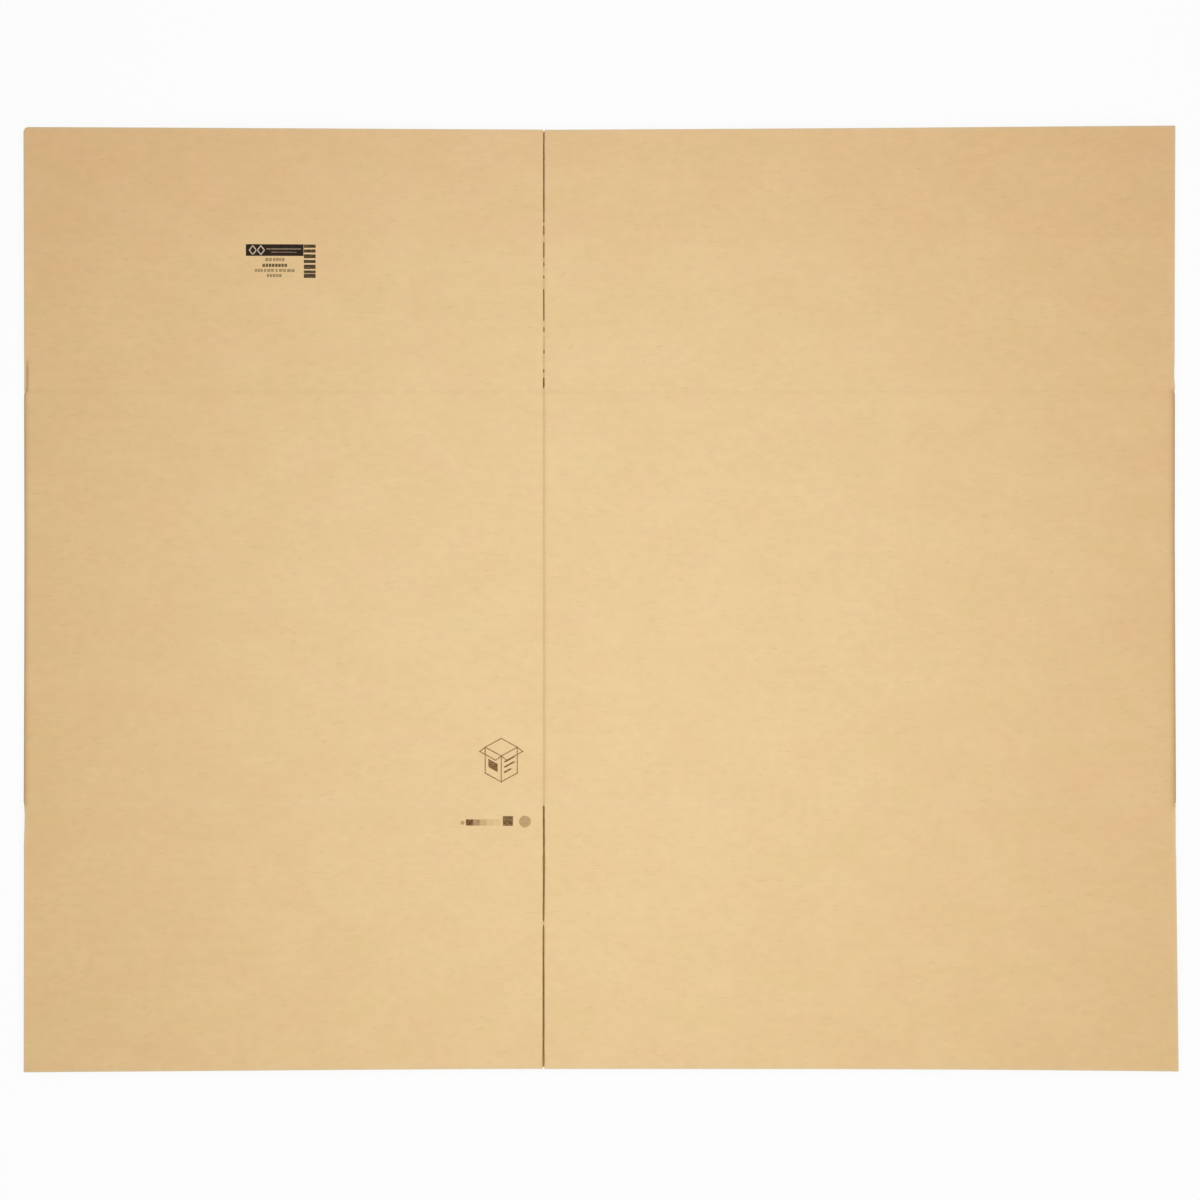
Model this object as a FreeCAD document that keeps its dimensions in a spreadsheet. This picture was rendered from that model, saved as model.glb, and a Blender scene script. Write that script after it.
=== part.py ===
import FreeCAD, Part
import math
import os
import Sketcher

# Flattened carton of double-wall corrugated board, in millimetres.
# One printed blank is folded at two creases into a flat sleeve and glued along one seam at the back.
# It lies on its back: X runs across the carton, Y runs up its height, Z points out of its front.

# Driving sizes: alias, value, what it is
SIZES = (
    ("narrow_panel", 503, "left front panel, from fold to crease"),
    ("wide_panel", 611, "right front panel, from crease to fold"),
    ("panel_height", 399, "between the two flap creases"),
    ("top_flap", 255, "from the top crease to the top edge"),
    ("bottom_flap", 257, "from the bottom crease to the bottom edge"),
    ("board", 6.8, "thickness of the double-wall board"),
    ("front_flap_setback", 0.4, "front flaps stop this far inside the folds"),
    ("back_flap_setback", 1.2, "back flaps stop this far inside the folds"),
    ("top_slit", 1.2, "width of the slits above the top crease"),
    ("bottom_slit", 1.8, "width of the slits below the bottom crease"),
    ("slit_root", 3, "left uncut between a crease and its slit in front"),
    ("top_first_cut", 11, "first open stretch of the front top slit"),
    ("top_first_touch", 55, "stretch where its two edges still hold together"),
    ("top_second_cut", 31, "second open stretch"),
    ("top_second_touch", 30, "second stretch that holds together"),
    ("bottom_first_cut", 111, "first open stretch of the front bottom slit"),
    ("bottom_touch", 3.5, "nick where its two edges hold together"),
    ("crease_width", 3, "width of a pressed crease"),
    ("crease_depth", 0.6, "depth of a pressed crease"),
    ("notch_depth", 1.2, "notch at each end of a flap crease, in from the fold"),
    ("notch_height", 2, "the same notch, along the flap"),
    ("worn_corner", 3.5, "blunted upper left corner, along each edge"),
    ("back_seam", 3, "gap between the two glued edges at the back"),
    ("tab_width", 40, "glue tab behind the wide back panel"),
    ("tab_heel", 8, "where the tab grows out of the narrow back panel"),
    ("tab_inset", 3, "the tab starts and ends this far inside the flap creases"),
    ("tab_thickness", 3.2, "glue tab, crushed to half the board"),
    ("tab_taper", 14, "how much shorter each end of the tab is at its free edge"),
    ("tab_clearance", 0.3, "between the tab and the front layer"),
)

# Places worked out from the sizes
GAP = "(sizes.tab_thickness + sizes.tab_clearance)"
FRONT_BACK_FACE = f"(sizes.board + {GAP})"
FRONT_FACE = f"(2 * sizes.board + {GAP})"
HALF_WIDTH = "((sizes.narrow_panel + sizes.wide_panel) / 2)"
TOP_CREASE = "((sizes.panel_height + sizes.bottom_flap - sizes.top_flap) / 2)"
BOTTOM_CREASE = "(-(sizes.panel_height + sizes.top_flap - sizes.bottom_flap) / 2)"
TOP_EDGE = f"({TOP_CREASE} + sizes.top_flap)"
BOTTOM_EDGE = f"({BOTTOM_CREASE} - sizes.bottom_flap)"
MIDDLE_CREASE = f"(sizes.narrow_panel - {HALF_WIDTH})"
SEAM = f"({HALF_WIDTH} - sizes.narrow_panel)"

CUT_SHORTFALL = 1e-3  # a cut that removes less than this, in cubic millimetres, has missed


def make_sheet(doc):
    """Spreadsheet of the driving sizes, one alias to a row."""
    sheet = doc.addObject("Spreadsheet::Sheet", "sizes")
    for row, (alias, value, note) in enumerate(SIZES, start=1):
        sheet.set(f"A{row}", str(value))
        sheet.setAlias(f"A{row}", alias)
        sheet.set(f"B{row}", note)
    doc.recompute()
    return sheet


def add_sketch(body, name, plane, height=None):
    """Empty sketch on one of the body's origin planes, raised by an expression if one is given."""
    sketch = body.newObject("Sketcher::SketchObject", name)
    base = next(item for item in body.Origin.OriginFeatures if item.Role == plane)
    sketch.AttachmentSupport = [(base, "")]
    sketch.MapMode = "FlatFace"
    if height is not None:
        sketch.setExpression(".AttachmentOffset.Base.z", height)
    return sketch


def place(sketch, geometry, point, across, up):
    """Tie one point of a sketch to two expressions, measured from the origin."""
    for kind, expression in (("DistanceX", across), ("DistanceY", up)):
        start = float(sketch.evalExpression(expression))
        index = sketch.addConstraint(Sketcher.Constraint(kind, -1, 1, geometry, point, start))
        sketch.setExpression(f"Constraints[{index}]", expression)


def add_outline(sketch, corners):
    """Closed outline of straight lines through corners that are pairs of expressions."""
    points = [
        FreeCAD.Vector(float(sketch.evalExpression(across)), float(sketch.evalExpression(up)), 0)
        for across, up in corners
    ]
    lines = [
        sketch.addGeometry(Part.LineSegment(point, points[(index + 1) % len(points)]), False)
        for index, point in enumerate(points)
    ]
    for index, line in enumerate(lines):
        following = lines[(index + 1) % len(lines)]
        sketch.addConstraint(Sketcher.Constraint("Coincident", line, 2, following, 1))
    for line, (across, up) in zip(lines, corners):
        place(sketch, line, 1, across, up)


def add_rectangle(sketch, left, right, low, high):
    """Rectangle between four expressions."""
    add_outline(sketch, ((left, low), (right, low), (right, high), (left, high)))


def add_stadium(sketch, centre_across, centre_up, radius):
    """Slot outline with half-round ends, centred on the vertical axis."""
    across = float(sketch.evalExpression(centre_across))
    up = float(sketch.evalExpression(centre_up))
    size = float(sketch.evalExpression(radius))
    quarter = math.pi / 2
    out = FreeCAD.Vector(0, 0, 1)

    def corner(side, level):
        return FreeCAD.Vector(side * across, up + level * size, 0)

    right_circle = Part.Circle(FreeCAD.Vector(across, up, 0), out, size)
    left_circle = Part.Circle(FreeCAD.Vector(-across, up, 0), out, size)
    low = sketch.addGeometry(Part.LineSegment(corner(-1, -1), corner(1, -1)), False)
    right = sketch.addGeometry(Part.ArcOfCircle(right_circle, -quarter, quarter), False)
    high = sketch.addGeometry(Part.LineSegment(corner(1, 1), corner(-1, 1)), False)
    left = sketch.addGeometry(Part.ArcOfCircle(left_circle, quarter, 3 * quarter), False)
    for first, second in ((low, right), (right, high), (high, left), (left, low)):
        sketch.addConstraint(Sketcher.Constraint("Tangent", first, 2, second, 1))
    sketch.addConstraint(Sketcher.Constraint("Equal", right, left))
    index = sketch.addConstraint(Sketcher.Constraint("Radius", right, size))
    sketch.setExpression(f"Constraints[{index}]", radius)
    place(sketch, right, 3, centre_across, centre_up)
    place(sketch, left, 3, f"-{centre_across}", centre_up)


def add_pad(body, name, sketch, length):
    """Pad a sketch along its normal."""
    pad = body.newObject("PartDesign::Pad", name)
    pad.Profile = sketch
    pad.setExpression("Length", length)
    return pad


def add_pocket(body, name, sketch, depth, upward=False):
    """Cut a sketch into the body, and check that the cut took material away."""
    body.Document.recompute()
    volume_before = body.Shape.Volume
    pocket = body.newObject("PartDesign::Pocket", name)
    pocket.Profile = sketch
    pocket.Reversed = upward
    pocket.setExpression("Length", depth)
    body.Document.recompute()
    if volume_before - body.Shape.Volume < CUT_SHORTFALL:
        raise ValueError(f"{name} removes nothing")
    return pocket


def make_sleeve(body):
    """Front and back layers between the flap creases, joined by a rounded fold at each side."""
    section = add_sketch(body, "sleeve_section", "XZ_Plane")
    middle = f"(sizes.board + {GAP} / 2)"
    fold_centre = f"({HALF_WIDTH} - {middle})"
    add_stadium(section, fold_centre, middle, middle)
    add_stadium(section, fold_centre, middle, f"{GAP} / 2")
    sleeve = body.newObject("PartDesign::Pad", "sleeve")
    sleeve.Profile = section
    sleeve.SideType = "Two sides"
    sleeve.setExpression("Length", f"-{BOTTOM_CREASE}")
    sleeve.setExpression("Length2", TOP_CREASE)


def make_flaps(body):
    """Two flaps above and two below in each layer, drawn as one strip that the slits divide."""
    for name, height, reach in (
        ("back_flaps", "0", f"({HALF_WIDTH} - sizes.back_flap_setback)"),
        ("front_flaps", FRONT_BACK_FACE, f"({HALF_WIDTH} - sizes.front_flap_setback)"),
    ):
        outline = add_sketch(body, f"{name}_outline", "XY_Plane", height)
        add_rectangle(outline, f"-{reach}", reach, TOP_CREASE, TOP_EDGE)
        add_rectangle(outline, f"-{reach}", reach, BOTTOM_EDGE, BOTTOM_CREASE)
        add_pad(body, name, outline, "sizes.board")


def slit_sides(line, width):
    """Left and right edges of a slit of some width about a line."""
    return f"({line} - {width} / 2)", f"({line} + {width} / 2)"


def make_front_slits(body):
    """Slits between the front flaps, with the stretches where their edges still hold together."""
    cuts = add_sketch(body, "front_slit_outline", "XY_Plane", FRONT_FACE)
    left, right = slit_sides(MIDDLE_CREASE, "sizes.top_slit")
    first_start = f"({TOP_CREASE} + sizes.slit_root)"
    first_end = f"({first_start} + sizes.top_first_cut)"
    second_start = f"({first_end} + sizes.top_first_touch)"
    second_end = f"({second_start} + sizes.top_second_cut)"
    last_start = f"({second_end} + sizes.top_second_touch)"
    add_rectangle(cuts, left, right, first_start, first_end)
    add_rectangle(cuts, left, right, second_start, second_end)
    add_rectangle(cuts, left, right, last_start, TOP_EDGE)
    left, right = slit_sides(MIDDLE_CREASE, "sizes.bottom_slit")
    first_start = f"({BOTTOM_CREASE} - sizes.slit_root)"
    first_end = f"({first_start} - sizes.bottom_first_cut)"
    last_start = f"({first_end} - sizes.bottom_touch)"
    add_rectangle(cuts, left, right, first_end, first_start)
    add_rectangle(cuts, left, right, BOTTOM_EDGE, last_start)
    add_pocket(body, "front_slits", cuts, "sizes.board")


def make_back_slits(body):
    """Slits between the back flaps, and the seam where the two ends of the blank meet."""
    cuts = add_sketch(body, "back_slit_outline", "XY_Plane")
    left, right = slit_sides(SEAM, "sizes.top_slit")
    add_rectangle(cuts, left, right, TOP_CREASE, TOP_EDGE)
    left, right = slit_sides(SEAM, "sizes.bottom_slit")
    add_rectangle(cuts, left, right, BOTTOM_EDGE, BOTTOM_CREASE)
    add_pocket(body, "back_slits", cuts, "sizes.board", upward=True)
    gap = add_sketch(body, "back_seam_outline", "XY_Plane")
    left, right = slit_sides(SEAM, "sizes.back_seam")
    add_rectangle(gap, left, right, BOTTOM_CREASE, TOP_CREASE)
    add_pocket(body, "back_seam", gap, "sizes.board", upward=True)


def make_glue_tab(body):
    """Crushed tab between the layers, which carries the seam from one back panel to the other."""
    outline = add_sketch(body, "glue_tab_outline", "XY_Plane", "sizes.board")
    free_edge = f"({SEAM} - sizes.tab_width)"
    heel = f"({SEAM} + sizes.tab_heel)"
    low = f"({BOTTOM_CREASE} + sizes.tab_inset)"
    high = f"({TOP_CREASE} - sizes.tab_inset)"
    corners = (
        (free_edge, f"({low} + sizes.tab_taper)"),
        (SEAM, low),
        (heel, low),
        (heel, high),
        (SEAM, high),
        (free_edge, f"({high} - sizes.tab_taper)"),
    )
    add_outline(outline, corners)
    add_pad(body, "glue_tab", outline, "sizes.tab_thickness")


def make_creases(body):
    """Pressed lines where the flaps bend, front and back, and the upright crease in front."""
    for name, height, upward in (
        ("front_flap_creases", FRONT_FACE, False),
        ("back_flap_creases", None, True),
    ):
        lines = add_sketch(body, f"{name}_outline", "XY_Plane", height)
        for crease in (TOP_CREASE, BOTTOM_CREASE):
            low, high = slit_sides(crease, "sizes.crease_width")
            add_rectangle(lines, f"-{HALF_WIDTH}", HALF_WIDTH, low, high)
        add_pocket(body, name, lines, "sizes.crease_depth", upward)
    upright = add_sketch(body, "upright_crease_outline", "XY_Plane", FRONT_FACE)
    left, right = slit_sides(MIDDLE_CREASE, "sizes.crease_width")
    add_rectangle(upright, left, right, BOTTOM_CREASE, TOP_CREASE)
    add_pocket(body, "upright_crease", upright, "sizes.crease_depth")


def make_notches(body):
    """Notches at both ends of each flap crease, where the flaps part from the folds."""
    outline = add_sketch(body, "notch_outline", "XY_Plane", FRONT_FACE)
    inner = f"({HALF_WIDTH} - sizes.notch_depth)"
    for left, right in ((f"-{HALF_WIDTH}", f"-{inner}"), (inner, HALF_WIDTH)):
        add_rectangle(outline, left, right, TOP_CREASE, f"({TOP_CREASE} + sizes.notch_height)")
        add_rectangle(outline, left, right, f"({BOTTOM_CREASE} - sizes.notch_height)", BOTTOM_CREASE)
    add_pocket(body, "notches", outline, FRONT_FACE)


def make_worn_corner(body):
    """Blunted upper left corner of the front and back flaps."""
    outline = add_sketch(body, "worn_corner_outline", "XY_Plane", FRONT_FACE)
    side = f"({HALF_WIDTH} - sizes.front_flap_setback)"
    corners = (
        (f"-{side}", f"({TOP_EDGE} - sizes.worn_corner)"),
        (f"(sizes.worn_corner - {side})", TOP_EDGE),
        (f"-{side}", TOP_EDGE),
    )
    add_outline(outline, corners)
    add_pocket(body, "worn_corner_cut", outline, FRONT_FACE)


def check(doc, bodies):
    """Stop if any object failed, or a body isn't one sound solid."""
    for item in doc.Objects:
        if "Invalid" in item.State or "Error" in item.State:
            raise ValueError(f"{item.Name} failed: {item.State}")
    for body in bodies:
        shape = body.Shape
        if shape.isNull() or not shape.isValid() or len(shape.Solids) != 1:
            raise ValueError(f"{body.Label} isn't one valid solid")


def main():
    doc = FreeCAD.newDocument("flattened_carton")
    make_sheet(doc)
    carton = doc.addObject("PartDesign::Body", "flattened_carton")
    carton.Label = "flattened_carton"
    make_sleeve(carton)
    make_flaps(carton)
    make_front_slits(carton)
    make_back_slits(carton)
    make_glue_tab(carton)
    make_creases(carton)
    make_notches(carton)
    make_worn_corner(carton)
    doc.recompute()
    check(doc, [carton])
    os.makedirs("parts", exist_ok=True)
    carton.Shape.exportStep(f"parts/{carton.Label}.step")
    box = carton.Shape.BoundBox
    print(f"{carton.Label}: {box.XLength:.1f} x {box.YLength:.1f} x {box.ZLength:.1f} mm")
    print(f"volume {carton.Shape.Volume / 1e6:.3f} litres, {len(carton.Shape.Faces)} faces")


main()
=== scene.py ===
import math

import bpy
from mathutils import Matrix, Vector, noise


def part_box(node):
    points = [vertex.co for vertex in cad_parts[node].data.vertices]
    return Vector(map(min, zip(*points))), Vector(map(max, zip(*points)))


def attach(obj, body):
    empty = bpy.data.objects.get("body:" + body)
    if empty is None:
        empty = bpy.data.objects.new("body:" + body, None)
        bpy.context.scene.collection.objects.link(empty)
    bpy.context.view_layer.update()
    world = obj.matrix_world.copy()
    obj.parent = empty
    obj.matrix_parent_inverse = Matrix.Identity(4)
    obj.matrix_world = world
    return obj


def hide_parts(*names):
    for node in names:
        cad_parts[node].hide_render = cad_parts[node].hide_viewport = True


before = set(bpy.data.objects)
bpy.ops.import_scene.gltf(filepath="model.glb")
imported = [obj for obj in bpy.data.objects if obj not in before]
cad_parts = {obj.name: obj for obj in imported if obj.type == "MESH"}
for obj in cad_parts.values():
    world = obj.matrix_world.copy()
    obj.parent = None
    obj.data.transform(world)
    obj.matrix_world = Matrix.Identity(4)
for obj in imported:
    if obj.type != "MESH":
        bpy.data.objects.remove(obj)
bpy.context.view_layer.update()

# A large slotted carton of double-wall board, folded flat. X is across it, Y up it, Z out of its front.

mm = 0.001
carton = "flattened_carton"
cartonLow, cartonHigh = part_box(carton)

# Layout of the flat sleeve; its panels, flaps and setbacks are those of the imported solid
layout = {
    "narrowPanel": 503 * mm,  # left front panel
    "widePanel": 611 * mm,  # right front panel
    "topFlap": 255 * mm,
    "bottomFlap": 257 * mm,
    "board": 6.8 * mm,
    "frontSetback": 0.4 * mm,  # front flaps stop inside the folds
    "backSetback": 1.2 * mm,  # and back flaps a little further in
    "nick": 0.8 * mm,  # height of the nick where a flap's side edge comes out of the fold
    "flapFreedom": 4 * mm,  # over this length it also rises out of the fold's curve
    "foldSquareness": {-1: 3.4, 1: 2.5},  # left and right; 2 would be round
}

halfWidth = (layout["narrowPanel"] + layout["widePanel"]) / 2
middleZ = cartonHigh.z / 2
foldRadius = cartonHigh.z / 2
foldStart = halfWidth - foldRadius
apex = foldStart + foldRadius * math.pi / 2  # arc length from the middle to the crown of a fold
topEdge = cartonHigh.y
bottomEdge = cartonLow.y
topCrease = topEdge - layout["topFlap"]
bottomCrease = bottomEdge + layout["bottomFlap"]
middleLine = layout["narrowPanel"] - halfWidth  # the front crease and its slits
seamLine = -middleLine  # the glued seam at the back
frontFlapEdge = halfWidth - layout["frontSetback"]
backFlapEdge = halfWidth - layout["backSetback"]

# Slits between the front flaps; lengths are measured from the flap creases outwards
slits = {
    "topWidth": 1.45 * mm,
    "bottomWidth": 1.95 * mm,
    "hairWidth": 0.7 * mm,  # at the ends of an open stretch
    "topOpen": (
        (3 * mm, 14 * mm), (18 * mm, 22 * mm), (37 * mm, 41 * mm), (58 * mm, 63 * mm),
        (69 * mm, 100 * mm), (110 * mm, 113 * mm), (122 * mm, 126 * mm), (130 * mm, 146 * mm),
        (152 * mm, 162 * mm), (164 * mm, 1),
    ),
    "bottomOpen": ((1.4 * mm, 114 * mm), (117.5 * mm, 1)),
    "nominal": 0.6 * mm,  # half width at which the two edge columns are drawn
    "reach": 6 * mm,  # how far the board shifts beside a slit
    "meander": 0.25 * mm,
    "meanderLength": 45 * mm,
    "roughness": 0.3,  # share by which the width comes and goes
    "fineShare": 0.7,  # of that, how much in short tears beside long ones
    "fineLength": 3.1 * mm,
    "coarseLength": 13 * mm,
    "taper": 1.8 * mm,
    "bottomStep": 0.33 * mm,  # the lower slit jogs sideways at its nick
    "stepLength": 30 * mm,
    "seamWidth": 3 * mm,
}

# Pressed lines: how deep and how wide, with the painted shade and painted highlight along them
creases = {
    "topDepth": 0.12 * mm,
    "bottomDepth": 0.1 * mm,
    "width": 2.2 * mm,
    "middleDepth": 0.75 * mm,
    "middleWidth": 1.3 * mm,
    "lipDepth": 0.35 * mm,  # cut edges roll in
    "lipWidth": 1.2 * mm,
    "sideLips": {(-1, 1): 0.45 * mm, (1, 1): 0.25 * mm, (-1, -1): 0.25 * mm, (1, -1): 0.05 * mm},
    "bead": 0.3,  # share of a crease that shows inside as a raised bead
    "topTone": 0.045,  # how dark the painted shade in the top crease is
    "bottomHighlight": 0.12,  # the lower crease gets a painted highlight instead
    "bottomWidth": 3.5 * mm,
    "slitPale": 0.15,
    "slitWidth": 1.6 * mm,
    "rimWidth": 1.8 * mm,  # how far in a cut edge is rubbed
    # painted shade in the middle crease
    "middleTone": 0.42,
    "touchTone": 0.62,  # painted shade in the hairline where the two edges of a slit hold together
    "touchLevel": 0.75,  # that tone comes and goes about this share of itself
    "touchSwing": 0.6,
    "touchLength": 5 * mm,
    "cutTone": 0.34,  # painted shade along an open slit
    "cutWidth": 0.4 * mm,
    "toneWidth": 0.7 * mm,
    "foldTones": {-1: 0.09, 1: 0.03},  # painted shade along the folded sides, where the folds turn away from the light
    "foldWidth": 4 * mm,
}

# Shallow groove beside the left fold, just above the top crease, with a painted shadow line along it
shadowGroove = {
    "inset": 2.8 * mm,
    "length": 36 * mm,
    "fade": 14 * mm,
    "depth": 0.6 * mm,
    "width": 1.0 * mm,
    # darkness of the painted shadow along the groove
    "tone": 0.85,
}

# How the flaps and panels lie, read from the outline in the photograph
lie = {
    "topLeft": 0.7 * mm, "topMiddle": -1.9 * mm, "topRight": 2.2 * mm,
    "bottomLeft": -2.5 * mm, "bottomMiddle": 0.9 * mm, "bottomRight": -1.6 * mm,
    "bends": {"topLeft": 1.0, "topRight": 1.25, "bottomLeft": 1.2, "bottomRight": 3.2},
    "swell": (  # how far the left and the right side stand out, by height in millimetres
        (-455, 0.55, 0.9), (-250, 0.4, 0.5), (-238, 0.45, 0.15), (-224, -0.05, 0.3), (-209, -0.45, 0.35),
        (-202, 0.0, 0.3), (-197, 1.2, 1.6), (-60, 0.7, 1.0), (60, 0.5, 0.45), (197, 0.85, 0.65),
        (202, 0.3, 0), (208, 0.2, -0.35), (214, 0.1, -0.95), (236, 0.2, -0.5), (300, 0.35, -0.4),
        (456, 0.6, 0.1),
    ),
    "swellReach": 80 * mm,
    "flare": 2.3 * mm,  # the lower right flaps spread sideways
    "backShort": 0.3 * mm,  # back flaps end a little inside the front ones
    "lift": {(-1, 1): 1.4 * mm, (1, 1): 0.5 * mm, (-1, -1): 0.3 * mm, (1, -1): 1.1 * mm},
    "backLift": 0.5,  # share of that lift on the back flaps
    "wave": 0.35 * mm,
    "waveLength": 410 * mm,
    "calm": 60 * mm,  # over this length the wave dies out towards the folds
    "cornerRadius": {(-1, 1): 5.2 * mm, (1, 1): 0.9 * mm, (-1, -1): 0.6 * mm, (1, -1): 0.9 * mm},
}

# Make-up of the double-wall board, as depths below its outer face,
# and the steps of a liner's grid: up the flaps, up the panels and round the sleeve
boardLayers = {
    "outerLiner": {"between": (0, 0.35 * mm), "steps": (2.6 * mm, 6 * mm, 34 * mm)},
    "middleLiner": {"between": (2.8 * mm, 3.1 * mm), "steps": (9 * mm, 20 * mm, 40 * mm)},
    "innerLiner": {"between": (6.45 * mm, 6.8 * mm), "steps": (9 * mm, 20 * mm, 40 * mm)},
    "fineFlutes": {"between": (0.33 * mm, 2.82 * mm), "pitch": 6.35 * mm, "sharp": 80},
    "coarseFlutes": {"between": (3.08 * mm, 6.47 * mm), "pitch": 7.95 * mm, "sharp": 80},
    "paper": 0.24 * mm,
    "stepsPerFlute": 8,
}


def mix(first, second, share):
    return first + (second - first) * share


def smooth(value):
    value = max(0.0, min(1.0, value))
    return value * value * (3 - 2 * value)


def bell(distance, width):
    return math.exp(-((distance / width) ** 2))


def wander(value, seed):  # smooth noise between about -1 and 1 along a line
    return noise.noise(Vector((value, seed, seed * 0.37)))


def whichFlap(v):  # 1 above the top crease, -1 below the bottom crease, 0 between them
    return 1 if v > topCrease else -1 if v < bottomCrease else 0


def flapLength(v):  # distance out from the nearer flap crease
    return max(0.0, v - topCrease, bottomCrease - v)


def slitStretches(v):
    flap = whichFlap(v)
    return slits["topOpen"] if flap > 0 else slits["bottomOpen"] if flap < 0 else ()


def isOpen(v):  # is the front slit open at this height
    return any(start < flapLength(v) < end for start, end in slitStretches(v))


def halfSlit(v):
    ends = [abs(flapLength(v) - end) for stretch in slitStretches(v) for end in stretch]
    share = smooth(min(ends) / slits["taper"]) if ends else 1.0
    if not isOpen(v):
        return mix(slits["hairWidth"] / 2, slits["nominal"], share)
    width = slits["topWidth"] if whichFlap(v) > 0 else slits["bottomWidth"]
    rough = slits["fineShare"] * wander(v / slits["fineLength"], 1.7)
    rough += wander(v / slits["coarseLength"], 8.3)
    width *= 1 + slits["roughness"] * rough
    return mix(slits["hairWidth"], width, share) / 2


def slitDrift(v):  # sideways wander of the slit's centre line
    drift = slits["meander"] * wander(v / slits["meanderLength"], 2.9)
    if whichFlap(v) < 0:
        nick = slits["bottomOpen"][1][0]
        drift -= slits["bottomStep"] * smooth((flapLength(v) - nick) / slits["stepLength"] + 1)
    return drift


def sideShift(a, v, front):  # moves board beside a slit or seam so that its edges lie true
    if front:
        away = a - middleLine
        near = 1 - smooth((abs(away) - slits["nominal"]) / slits["reach"])
        pull = max(-1.0, min(1.0, away / slits["nominal"]))
        return near * (pull * (halfSlit(v) - slits["nominal"]) + slitDrift(v))
    away = a - seamLine
    near = 1 - smooth((abs(away) - slits["seamWidth"] / 2) / slits["reach"])
    width = slits["seamWidth"] if whichFlap(v) == 0 else slits["bottomWidth"]
    return near * math.copysign((width - slits["seamWidth"]) / 2, away)


def shadowGrooveShare(a, v, front):  # how strongly the groove and its painted shadow show at a place
    if not front or a > 0 or whichFlap(v) < 1:
        return 0.0
    along = smooth((shadowGroove["length"] - flapLength(v)) / shadowGroove["fade"])
    return along * bell(-a - frontFlapEdge + shadowGroove["inset"], shadowGroove["width"])


def crush(a, v, front):  # how far the outer face is pressed in
    width = creases["width"]
    press = creases["topDepth"] * bell(v - topCrease, width)
    press += creases["bottomDepth"] * bell(v - bottomCrease, width)
    away = abs(a - (middleLine if front else seamLine))
    if front and whichFlap(v) == 0:
        press = max(press, creases["middleDepth"] * bell(away, creases["middleWidth"]))
    else:
        press = max(press, creases["lipDepth"] * bell(away, creases["lipWidth"]))
    if front and whichFlap(v) and not isOpen(v):
        press = max(press, creases["middleDepth"] * bell(away, creases["lipWidth"]))
    press = max(press, shadowGroove["depth"] * shadowGrooveShare(a, v, front))
    if whichFlap(v):
        side = (frontFlapEdge if front else backFlapEdge) - abs(a)
        lip = creases["sideLips"][1 if a > 0 else -1, whichFlap(v)]
        press = max(press, lip * bell(side, creases["lipWidth"]))
    rim = min(topEdge - v, v - bottomEdge)
    return max(press, creases["lipDepth"] * bell(rim, creases["lipWidth"]))


def outlineShift(a, v, front):  # how far the far edge of a flap lies from square
    flap = whichFlap(v)
    if not flap:
        return 0.0
    share = flapLength(v) / (layout["topFlap"] if flap > 0 else layout["bottomFlap"])
    side = "Left" if a < middleLine else "Right"
    reach = layout["narrowPanel"] if a < middleLine else layout["widePanel"]
    out = min(1.0, abs(a - middleLine) / reach)
    end = "top" if flap > 0 else "bottom"
    shift = mix(lie[end + "Middle"], lie[end + side], out ** lie["bends"][end + side])
    if not front:
        shift -= flap * lie["backShort"]
    return shift * share


def flareShift(a, v):
    if whichFlap(v) >= 0 or a < middleLine:
        return 0.0
    return lie["flare"] * (a - middleLine) / layout["widePanel"] * flapLength(v) / layout["bottomFlap"]


def swellShift(a, v):
    near = smooth((abs(a) - apex) / lie["swellReach"] + 1)
    if near == 0:
        return 0.0
    stops = lie["swell"]
    index = sum(stop[0] * mm < v for stop in stops[1:-1])
    low, high = stops[index], stops[index + 1]
    share = (v / mm - low[0]) / (high[0] - low[0])
    outward = mix(low[1], high[1], share) if a < 0 else -mix(low[2], high[2], share)
    return -outward * mm * near


def roundCorner(a, v, front):  # squeezes the square corner of a flap into a round one
    across, up = (1 if a > 0 else -1), whichFlap(v)
    if not up:
        return a, v
    radius = lie["cornerRadius"][across, up]
    edgeA = frontFlapEdge if front else backFlapEdge
    edgeV = topEdge if up > 0 else -bottomEdge
    i = (abs(a) - edgeA + radius) / radius
    j = (abs(v) - edgeV + radius) / radius
    if i <= 0 or j <= 0:
        return a, v
    roundI, roundJ = i * math.sqrt(1 - j * j / 2), j * math.sqrt(1 - i * i / 2)
    return across * (edgeA - radius + roundI * radius), up * (edgeV - radius + roundJ * radius)


def boardPoint(u, v, depth):  # u runs round the sleeve from the seam, v up it, depth into the board
    front = abs(u) <= apex
    a = u if front else math.copysign(2 * apex, u) - u
    press = crush(a, v, front)
    share = depth / layout["board"]
    depth += press * (1 - share) - press * creases["bead"] * share
    shift = sideShift(a, v, front) + flareShift(a, v) + swellShift(a, v)
    lift = outlineShift(a, v, front)
    a, v = roundCorner(a, v, front)
    radius = foldRadius - depth
    x, z = a, radius
    over = abs(a) - foldStart
    if over > 0:
        turn = over / foldRadius
        power = layout["foldSquareness"][1 if a > 0 else -1]
        radius /= (abs(math.sin(turn)) ** power + abs(math.cos(turn)) ** power) ** (1 / power)
        out, up = (smooth(flapLength(v) / layout[way]) for way in ("nick", "flapFreedom"))
        x = mix(math.copysign(foldStart + radius * math.sin(turn), a), x, out)
        z = mix(radius * math.cos(turn), z, up)
    side = 1 if front else -1
    bow = lie["wave"] * math.sin(math.tau * a / lie["waveLength"] + side)
    bow *= math.cos(math.tau * v / lie["waveLength"])
    hang = lie["lift"][1 if a > middleLine else -1, whichFlap(v) or 1] if whichFlap(v) else 0
    raised = hang * (flapLength(v) / layout["topFlap"]) ** 2 * (1 if front else lie["backLift"])
    calm = smooth((apex - abs(a)) / lie["calm"])
    ease = (bow + lie["wave"]) * calm if front else 0.0
    return Vector((x + shift, v + lift, middleZ + side * z + ease + raised))


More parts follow.
